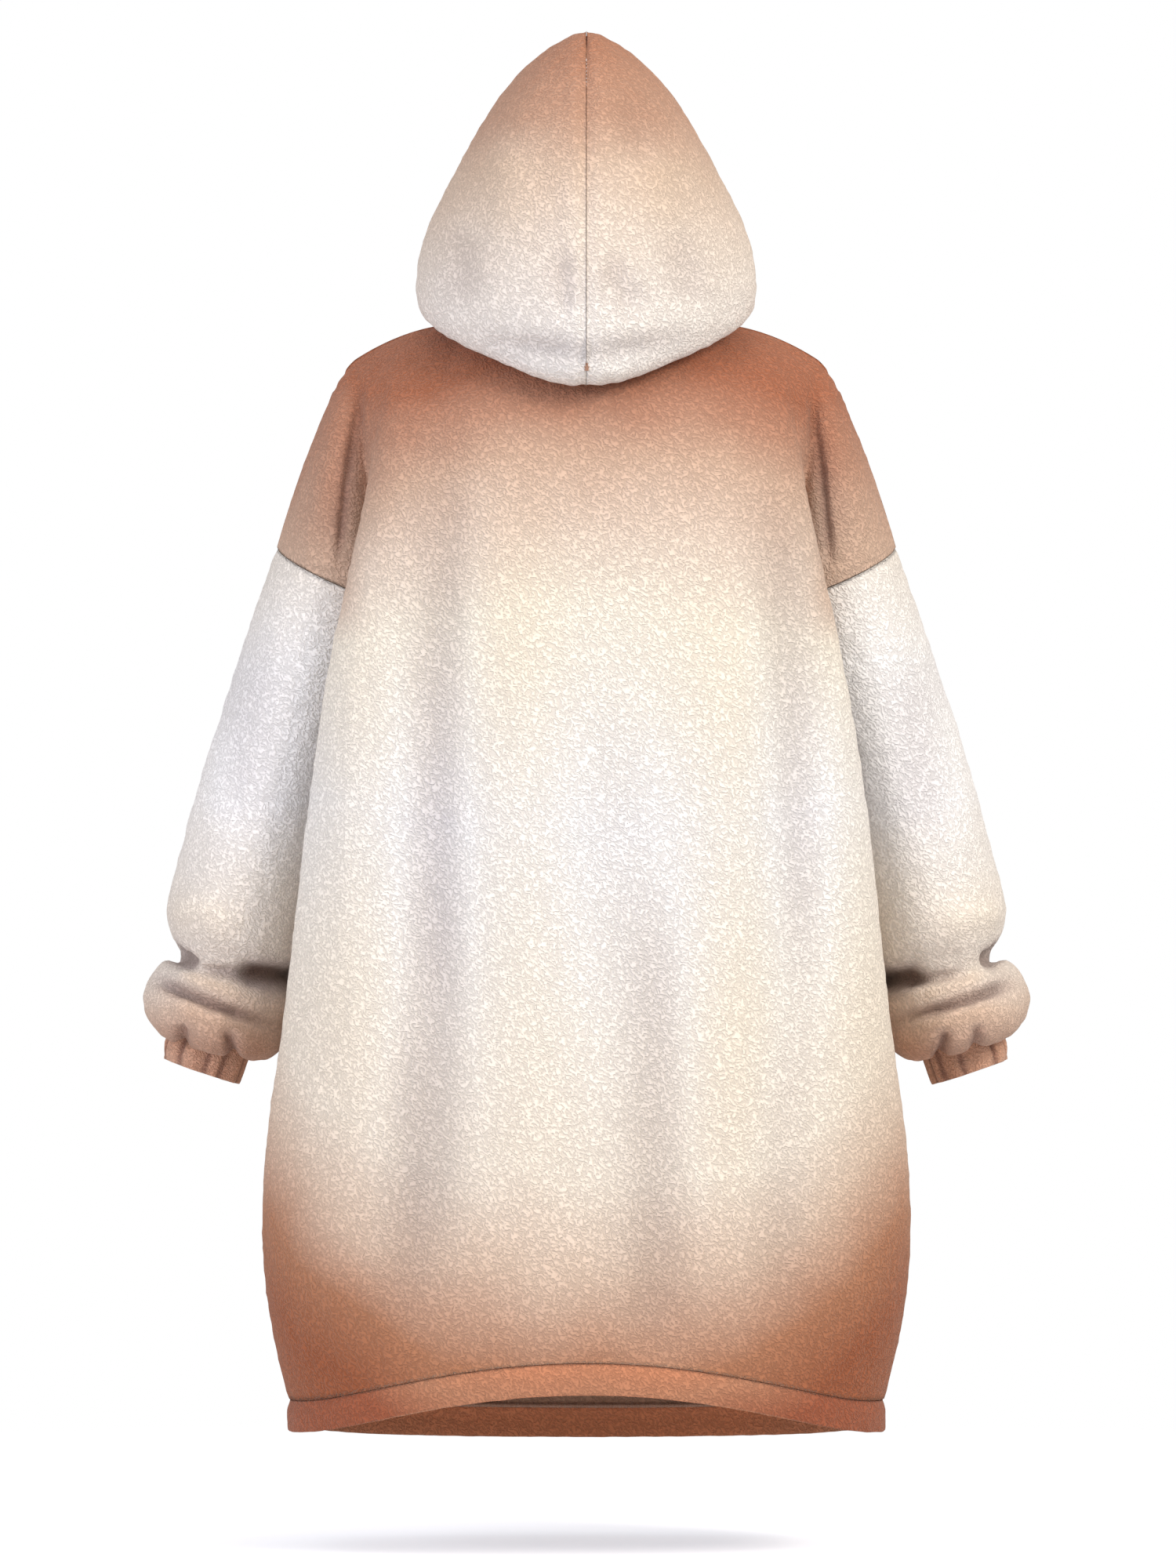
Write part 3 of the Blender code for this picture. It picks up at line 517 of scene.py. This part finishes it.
# Creases and rolls above the cuff: face (1 behind, -1 in front), line (x, z),
# width and height. The two faces part at the sleeve's middle, given as (z, y)
SLEEVE_MIDDLE_Y = ((-0.60, -0.040), (-0.45, -0.025), (-0.20, -0.010))
SLEEVE_PARTING = 0.012
SLEEVE_FOLDS = (
    ("sleeve_left", 1, ((0.378, -0.553), (0.364, -0.565), (0.342, -0.573)), 0.0055, -0.0120),
    ("sleeve_left", 1, ((0.392, -0.584), (0.345, -0.602), (0.270, -0.630)), 0.0042, -0.0120),
    ("sleeve_left", 1, ((0.352, -0.576), (0.306, -0.581), (0.225, -0.588)), 0.0045, -0.0070),
    ("sleeve_left", 1, ((0.316, -0.578), (0.272, -0.584), (0.215, -0.588)), 0.0090, -0.0120),
    ("sleeve_left", 1, ((0.372, -0.580), (0.330, -0.591), (0.282, -0.604)), 0.0070, 0.0045),
    ("sleeve_left", 1, ((0.376, -0.604), (0.330, -0.620), (0.280, -0.640)), 0.0080, 0.0030),
    ("sleeve_left", 1, ((0.3620, -0.622), (0.3600, -0.640), (0.3580, -0.668)), 0.0048, -0.0075),
    ("sleeve_left", 1, ((0.3190, -0.628), (0.3160, -0.646), (0.3130, -0.674)), 0.0050, -0.0085),
    ("sleeve_left", 1, ((0.378, -0.530), (0.346, -0.528), (0.300, -0.544)), 0.0120, 0.0035),
    ("sleeve_left", 1, ((0.292, -0.26), (0.304, -0.36), (0.322, -0.46)), 0.0240, -0.0025),
    ("sleeve_left", 1, ((0.330, -0.34), (0.342, -0.42), (0.356, -0.50)), 0.0140, 0.0025),
    ("sleeve_left", -1, ((0.380, -0.560), (0.360, -0.570), (0.336, -0.574)), 0.0050, -0.0110),
    ("sleeve_left", -1, ((0.396, -0.596), (0.350, -0.606), (0.272, -0.624)), 0.0045, -0.0110),
    ("sleeve_left", -1, ((0.322, -0.566), (0.290, -0.576), (0.235, -0.588)), 0.0080, -0.0110),
    ("sleeve_left", -1, ((0.3660, -0.618), (0.3630, -0.640), (0.3610, -0.668)), 0.0050, -0.0070),
    ("sleeve_left", -1, ((0.3300, -0.622), (0.3270, -0.644), (0.3240, -0.672)), 0.0055, -0.0080),
    ("sleeve_left", -1, ((0.352, -0.40), (0.322, -0.44), (0.290, -0.50)), 0.0170, -0.0035),
    ("sleeve_right", 1, ((-0.378, -0.553), (-0.364, -0.564), (-0.350, -0.571)), 0.0055, -0.0125),
    ("sleeve_right", 1, ((-0.388, -0.584), (-0.338, -0.603), (-0.268, -0.624)), 0.0042, -0.0115),
    ("sleeve_right", 1, ((-0.344, -0.580), (-0.300, -0.585), (-0.225, -0.591)), 0.0045, -0.0065),
    ("sleeve_right", 1, ((-0.308, -0.581), (-0.266, -0.587), (-0.215, -0.591)), 0.0085, -0.0115),
    ("sleeve_right", 1, ((-0.362, -0.579), (-0.322, -0.591), (-0.276, -0.604)), 0.0070, 0.0040),
    ("sleeve_right", 1, ((-0.374, -0.603), (-0.328, -0.619), (-0.278, -0.636)), 0.0080, 0.0030),
    ("sleeve_right", 1, ((-0.3480, -0.622), (-0.3470, -0.642), (-0.3440, -0.668)), 0.0050, -0.0070),
    ("sleeve_right", 1, ((-0.3190, -0.626), (-0.3160, -0.646), (-0.3130, -0.672)), 0.0052, -0.0085),
    ("sleeve_right", 1, ((-0.376, -0.532), (-0.344, -0.530), (-0.296, -0.546)), 0.0120, 0.0035),
    ("sleeve_right", 1, ((-0.290, -0.28), (-0.300, -0.38), (-0.312, -0.48)), 0.0220, -0.0035),
    ("sleeve_right", 1, ((-0.322, -0.30), (-0.338, -0.40), (-0.352, -0.48)), 0.0150, 0.0025),
    ("sleeve_right", -1, ((-0.382, -0.556), (-0.362, -0.568), (-0.340, -0.573)), 0.0050, -0.0115),
    ("sleeve_right", -1, ((-0.394, -0.590), (-0.344, -0.606), (-0.268, -0.628)), 0.0045, -0.0110),
    ("sleeve_right", -1, ((-0.330, -0.568), (-0.292, -0.580), (-0.235, -0.590)), 0.0080, -0.0115),
    ("sleeve_right", -1, ((-0.3560, -0.620), (-0.3530, -0.640), (-0.3520, -0.668)), 0.0050, -0.0075),
    ("sleeve_right", -1, ((-0.3160, -0.622), (-0.3130, -0.644), (-0.3100, -0.672)), 0.0055, -0.0080),
    ("sleeve_right", -1, ((-0.346, -0.36), (-0.318, -0.41), (-0.284, -0.47)), 0.0180, -0.0035),
)

for name in ("sleeve_left", "sleeve_right"):
    sleeve, side, away = soft_copy(name, FLEECE_LEVELS)
    places = places_of(sleeve)
    middle_y = np.interp(places[:, 2], *zip(*SLEEVE_MIDDLE_Y))
    height = np.zeros(len(places))
    shade = np.zeros(len(places))
    for face in (1, -1):
        folds = [fold[2:] for fold in SLEEVE_FOLDS if fold[:2] == (name, face)]
        rise, light = fold_heights(places, folds)
        there = ease(-SLEEVE_PARTING, SLEEVE_PARTING, face * (places[:, 1] - middle_y))
        height += rise * there
        shade += light * there
    free = ease(0.0, SLEEVE_FREE, away)
    keep_values(sleeve, "fade", -places[:, 2])
    keep_values(sleeve, "seam", away)
    keep_values(sleeve, "shade", SLEEVE_SHADE * shade * free)
    lift(sleeve, side, height * free)
    nap(sleeve, side, away, *SLEEVE_NAP)
    coat(sleeve, sleeve_fleece)
    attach(sleeve, "root")
    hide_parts(name)

# Cuffs. Short bands of ribbed knit, gathered on elastic into upright flutes
# and seamed to the sleeves beneath the roll.
CUFF_END = (0.3448, -0.044, -0.6705)
CUFF_TILT = math.radians(18.7)
CUFF_FLUTES = 10
CUFF_FLUTE_DEPTH = 0.0028
CUFF_FLUTE_SHADE = 2.2
CUFF_SHARPNESS = 6
CUFF_WANDER = (0.09, 0.05)
CUFF_WAVE = 0.0008
CUFF_LIP = (0.026, 0.041)
CUFF_LIP_EASE = 0.8
CUFF_LIP_TURN = 0.0035
CUFF_NAP = (0.006, 0.0003, 0.0004)
CUFF_CURL_SCALE = 640.0
CUFF_STOPS = ((0.600, "D39E80"), (0.660, "DAAA90"), (0.700, "C89074"))
cuff_knit = curled_fleece("ribbed_knit_cuff", CUFF_STOPS, curl_scale=CUFF_CURL_SCALE)

for name, hand in (("cuff_left", 1), ("cuff_right", -1)):
    cuff, side, away = soft_copy(name, FLEECE_LEVELS)
    places = places_of(cuff)
    from_end = places - (hand * CUFF_END[0], CUFF_END[1], CUFF_END[2])
    across = from_end[:, 0] * hand * math.cos(CUFF_TILT) + from_end[:, 2] * math.sin(CUFF_TILT)
    turn = np.arctan2(from_end[:, 1], across)
    wander = turn + CUFF_WANDER[0] * np.sin(3 * turn + hand) + CUFF_WANDER[1] * np.sin(7 * turn)
    flute = (0.5 - 0.5 * np.cos(CUFF_FLUTES * wander + 0.4 * hand)) ** CUFF_SHARPNESS
    keep_values(cuff, "fade", -places[:, 2])
    keep_values(cuff, "seam", away)
    # Painted shade in the grooves between the flutes
    keep_values(cuff, "shade", -CUFF_FLUTE_SHADE * flute)
    end = ease(*CUFF_LIP, away)
    wave = CUFF_WAVE * np.sin(5 * turn + 2 * hand)
    sunk = CUFF_FLUTE_DEPTH * flute * (1 - CUFF_LIP_EASE * end)
    lift(cuff, side, wave - sunk - CUFF_LIP_TURN * end**2)
    nap(cuff, side, away, *CUFF_NAP)
    coat(cuff, cuff_knit)
    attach(cuff, "root")
    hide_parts(name)

# Hood. Two halves of the same fleece, seamed over the crown and down the
# centre back to the neck, with the spare depth hanging as a soft bag behind.
HOOD_TOP = 0.26
HOOD_NAP = (0.011, 0.0011, 0.0013)
HOOD_SHADE = 0.55
HOOD_BEHIND = 0.05
HOOD_SEAM_HOLD = 0.65
HOOD_FREE = 0.03
HOOD_STOPS = (
    (0.000, "B07456"),
    (0.080, "C49A82"),
    (0.130, "D8BEAA"),
    (0.200, "EBDCCF"),
    (0.260, "FBF3EC"),
    (0.320, "FDF9F6"),
)
hood_fleece = curled_fleece("curled_fleece_hood", HOOD_STOPS)

# Troughs and dimples of the bag, and the low ridge beside its seam: line (x, z),
# width and height
HOOD_FOLDS = (
    (((0.102, -0.014), (0.0, -0.034), (-0.104, -0.014)), 0.0090, -0.0055),
    (((0.090, -0.038), (0.0, -0.054), (-0.092, -0.038)), 0.0100, 0.0030),
    (((0.036, 0.056), (0.018, 0.028), (0.024, -0.008)), 0.0110, -0.0045),
    (((-0.012, 0.054), (-0.030, 0.024), (-0.052, -0.004)), 0.0110, -0.0045),
    (((-0.066, 0.074), (-0.088, 0.040), (-0.086, 0.000)), 0.0140, -0.0040),
    (((0.100, 0.086), (0.112, 0.044), (0.098, 0.002)), 0.0140, -0.0040),
    (((0.060, 0.150), (0.070, 0.110), (0.062, 0.060)), 0.0200, 0.0035),
    (((-0.046, 0.140), (-0.060, 0.110), (-0.058, 0.070)), 0.0200, 0.0035),
    (((-0.024, 0.200), (-0.044, 0.170), (-0.040, 0.130)), 0.0140, -0.0025),
    (((0.006, 0.210), (0.007, 0.100), (0.006, -0.040)), 0.0035, 0.0012),
)

for name in ("hood_left", "hood_right"):
    hood, side, away = soft_copy(name, FLEECE_LEVELS)
    places = places_of(hood)
    height, shade = fold_heights(places, HOOD_FOLDS)
    behind = ease(0.0, HOOD_BEHIND, places[:, 1])
    keep_values(hood, "fade", HOOD_TOP - places[:, 2])
    keep_values(hood, "seam", away)
    keep_values(hood, "shade", HOOD_SHADE * shade * behind)
    held = HOOD_SEAM_HOLD * (1 - ease(0.0, HOOD_FREE, away))
    lift(hood, side, height * behind * (1 - held))
    nap(hood, side, away, *HOOD_NAP)
    coat(hood, hood_fleece)
    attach(hood, "root")
    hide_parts(name)

# Hem band. A strip of the same fleece round the hem, sewn on edge to edge and
# a little puffed below its seam.
BAND_PUFF = 0.0018
BAND_PUFF_RANGE = (0.001, 0.012)
BAND_NAP = (0.011, 0.0008, 0.0007)
BAND_DEEPENING = 0.12
BAND_INSIDE_PALER = 0.14
BAND_STOPS = ((0.860, "E28F66"), (0.950, "B98264"), (1.080, "9C583D"))
band_fleece = curled_fleece("curled_fleece_band", BAND_STOPS)
band, side, away = soft_copy("hem_band", FLEECE_LEVELS)
places = places_of(band)
aside = np.clip(np.abs(places[:, 0]) / SIDE_X, 0, 1) ** 3
keep_values(band, "fade", -places[:, 2] + BAND_DEEPENING * aside - BAND_INSIDE_PALER * (1 - side))
keep_values(band, "seam", away)
keep_values(band, "shade", np.zeros(len(places)))
lift(band, side, BAND_PUFF * ease(*BAND_PUFF_RANGE, away))
nap(band, side, away, *BAND_NAP)
coat(band, band_fleece)
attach(band, "root")
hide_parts("hem_band")

# Seams. Every two pieces are joined by an overlocked seam: its allowance is
# pressed inside as a narrow ridge, bound round and round with spun thread.
SEWING = {"Allowance radius": 0.0019, "Thread radius": 0.00028, "Loop spacing": 0.0055}
SEAM_MERGE = 0.0006
RIDGE_SIDES = 6
LOOP_SIDES = 7
THREAD_SIDES = 3

# Spun polyester thread: matt, twisted, a little lighter on its twists
TWIST_SCALE = 900.0
thread_finish = bpy.data.materials.new("spun_polyester_overlock")
thread_finish.use_nodes = True
tree = thread_finish.node_tree
tree.nodes.clear()
place = add(tree, "ShaderNodeTexCoord").outputs["Object"]
twist = speckle(tree, place, TWIST_SCALE)["Fac"]
strand = add(tree, "ShaderNodeBump", [("Height", twist), ("Distance", 0.0004), ("Strength", 0.5)]).outputs[0]
tone = add(tree, "ShaderNodeValToRGB", [("Fac", twist)])
fill_ramp(tone.color_ramp, ((0.35, "A87F69"), (0.65, "C79F89")))
spun = add(tree, "ShaderNodeBsdfPrincipled", [("Base Color", tone.outputs["Color"]), ("Normal", strand)])
spun.inputs["Roughness"].default_value = 0.8
spun.inputs["Sheen Weight"].default_value = 0.15
add(tree, "ShaderNodeOutputMaterial", [("Surface", spun.outputs[0])])

# The lines that the allowances follow, as one mesh of edges
line_mesh = bpy.data.meshes.new("seam_lines")
line_mesh.from_pydata(
    [tuple(place) for line in seam_lines for place in line],
    [(2 * index, 2 * index + 1) for index in range(len(seam_lines))],
    [],
)
shape = bmesh.new()
shape.from_mesh(line_mesh)
bmesh.ops.remove_doubles(shape, verts=shape.verts, dist=SEAM_MERGE)
shape.to_mesh(line_mesh)
shape.free()
lines = bpy.data.objects.new("seam_lines", line_mesh)
bpy.context.scene.collection.objects.link(lines)

binding = bpy.data.node_groups.new("overlocked_seams", "GeometryNodeTree")
binding.interface.new_socket("Geometry", in_out="INPUT", socket_type="NodeSocketGeometry")
for name in SEWING:
    binding.interface.new_socket(name, in_out="INPUT", socket_type="NodeSocketFloat")
binding.interface.new_socket("Geometry", in_out="OUTPUT", socket_type="NodeSocketGeometry")
given = add(binding, "NodeGroupInput").outputs
path = add(binding, "GeometryNodeMeshToCurve", [("Mesh", given["Geometry"])]).outputs[0]
spaced = [("Curve", path), ("Length", given["Loop spacing"])]


def ring(sides, radius):
    kind = "GeometryNodeCurvePrimitiveCircle"
    return add(binding, kind, [("Resolution", sides), ("Radius", radius)]).outputs[0]


def tube(line, profile):
    return add(binding, "GeometryNodeCurveToMesh", [("Curve", line), ("Profile Curve", profile)]).outputs[0]


even = add(binding, "GeometryNodeResampleCurve", spaced, mode="LENGTH").outputs[0]
ridge = tube(even, ring(RIDGE_SIDES, given["Allowance radius"]))
radii = [(0, given["Allowance radius"]), (1, given["Thread radius"])]
wide = add(binding, "ShaderNodeMath", radii, operation="ADD").outputs[0]
loop = tube(ring(LOOP_SIDES, wide), ring(THREAD_SIDES, given["Thread radius"]))
points = add(binding, "GeometryNodeCurveToPoints", spaced, mode="LENGTH")
along = add(binding, "FunctionNodeAlignRotationToVector", [("Vector", points.outputs["Tangent"])], axis="Z")
bound = add(
    binding,
    "GeometryNodeInstanceOnPoints",
    [("Points", points.outputs["Points"]), ("Instance", loop), ("Rotation", along.outputs[0])],
)
joined = add(binding, "GeometryNodeJoinGeometry")
binding.links.new(bound.outputs[0], joined.inputs[0])
binding.links.new(ridge, joined.inputs[0])
real = add(binding, "GeometryNodeRealizeInstances", [("Geometry", joined.outputs[0])])
coated = add(binding, "GeometryNodeSetMaterial", [("Geometry", real.outputs[0]), ("Material", thread_finish)])
add(binding, "NodeGroupOutput", [("Geometry", coated.outputs[0])])

sewing = lines.modifiers.new("sewing", "NODES")
sewing.node_group = binding
for item in binding.interface.items_tree:
    if item.name in SEWING:
        sewing[item.identifier] = SEWING[item.name]
sewn_mesh = bpy.data.meshes.new_from_object(lines.evaluated_get(bpy.context.evaluated_depsgraph_get()))
bpy.data.objects.remove(lines)
seams = bpy.data.objects.new("overlocked_seams", sewn_mesh)
bpy.context.scene.collection.objects.link(seams)
sewn_mesh.shade_smooth()
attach(seams, "root")

# Camera, light and floor. Straight on from behind, with broad soft daylight, a
# little stronger and warmer from the right, and a white floor below the hem.
METRES_PER_PIXEL = 0.0007
FRAME_HEIGHT = 2000 * METRES_PER_PIXEL
CAMERA_FROM = 10.0
CAMERA_X = -2 * METRES_PER_PIXEL
CAMERA_Z = -588 * METRES_PER_PIXEL
camera = bpy.data.objects.new("camera", bpy.data.cameras.new("camera"))
camera.location = (CAMERA_X, CAMERA_FROM, CAMERA_Z)
camera.rotation_euler = (math.radians(90), 0, math.radians(180))
camera.data.lens = camera.data.sensor_width * CAMERA_FROM / FRAME_HEIGHT
camera.data.clip_end = 100
bpy.context.scene.collection.objects.link(camera)
bpy.context.scene.camera = camera
bpy.context.scene.view_settings.view_transform = "Standard"


def soft_light(name, place, aim, size, power, colour):
    lamp = bpy.data.objects.new(name, bpy.data.lights.new(name, "AREA"))
    lamp.data.size = size
    lamp.data.energy = power
    lamp.data.color = linear(colour)[:3]
    lamp.location = place
    lamp.rotation_euler = (Vector(aim) - Vector(place)).to_track_quat("-Z", "Y").to_euler()
    bpy.context.scene.collection.objects.link(lamp)


soft_light("key", (-3.0, 2.8, 2.0), (0, 0, -0.4), 1.8, 136, "FFF6EA")
soft_light("fill", (3.2, 3.2, 0.4), (0, 0, -0.5), 2.6, 88, "F8F6FF")
soft_light("crown", (0.0, 1.0, 3.0), (0, 0, 0), 4.2, 46, "FFFFFF")

# The studio: white to the camera, and about half as bright as light
STUDIO_LIGHT = 0.48
world = bpy.data.worlds.new("studio")
bpy.context.scene.world = world
world.use_nodes = True
world.node_tree.nodes.clear()
seen = add(world.node_tree, "ShaderNodeLightPath").outputs["Is Camera Ray"]
strength = ranged(world.node_tree, seen, 0.0, 1.0, STUDIO_LIGHT, 1.0)
sky = add(world.node_tree, "ShaderNodeBackground", [("Color", (1, 1, 1, 1)), ("Strength", strength)])
add(world.node_tree, "ShaderNodeOutputWorld", [("Surface", sky.outputs[0])])

# The floor: white card that passes into the white behind it, lit a little by
# itself to the camera, so that only the soft shadow under the hem shows
FLOOR_Z = -1.093
FLOOR_HALF = 3
FLOOR_GLOW = 0.49
FLOOR_EDGE = (0.9, 2.2)
floor_paint = bpy.data.materials.new("white_floor")
floor_paint.use_nodes = True
tree = floor_paint.node_tree
tree.nodes.clear()
place = add(tree, "ShaderNodeTexCoord").outputs["Object"]
reach = add(tree, "ShaderNodeVectorMath", [(0, place)], operation="LENGTH")
edge = ranged(tree, reach.outputs["Value"], *FLOOR_EDGE)
seen = add(tree, "ShaderNodeLightPath").outputs["Is Camera Ray"]
glow = add(tree, "ShaderNodeMath", [(0, seen), (1, FLOOR_GLOW)], operation="MULTIPLY").outputs[0]
matt = add(tree, "ShaderNodeBsdfDiffuse", [("Color", linear("FBFBFF"))])
lit = add(tree, "ShaderNodeEmission", [("Color", linear("F4F6FF")), ("Strength", glow)])
paint = add(tree, "ShaderNodeAddShader", [(0, matt.outputs[0]), (1, lit.outputs[0])])
nothing = add(tree, "ShaderNodeBsdfTransparent")
blend = add(tree, "ShaderNodeMixShader", [(0, edge), (1, paint.outputs[0]), (2, nothing.outputs[0])])
add(tree, "ShaderNodeOutputMaterial", [("Surface", blend.outputs[0])])
floor_mesh = bpy.data.meshes.new("floor")
corners = [(x * FLOOR_HALF, y * FLOOR_HALF, FLOOR_Z) for x, y in ((-1, -1), (1, -1), (1, 1), (-1, 1))]
floor_mesh.from_pydata(corners, [], [(0, 1, 2, 3)])
floor = bpy.data.objects.new("floor", floor_mesh)
floor_mesh.materials.append(floor_paint)
bpy.context.scene.collection.objects.link(floor)
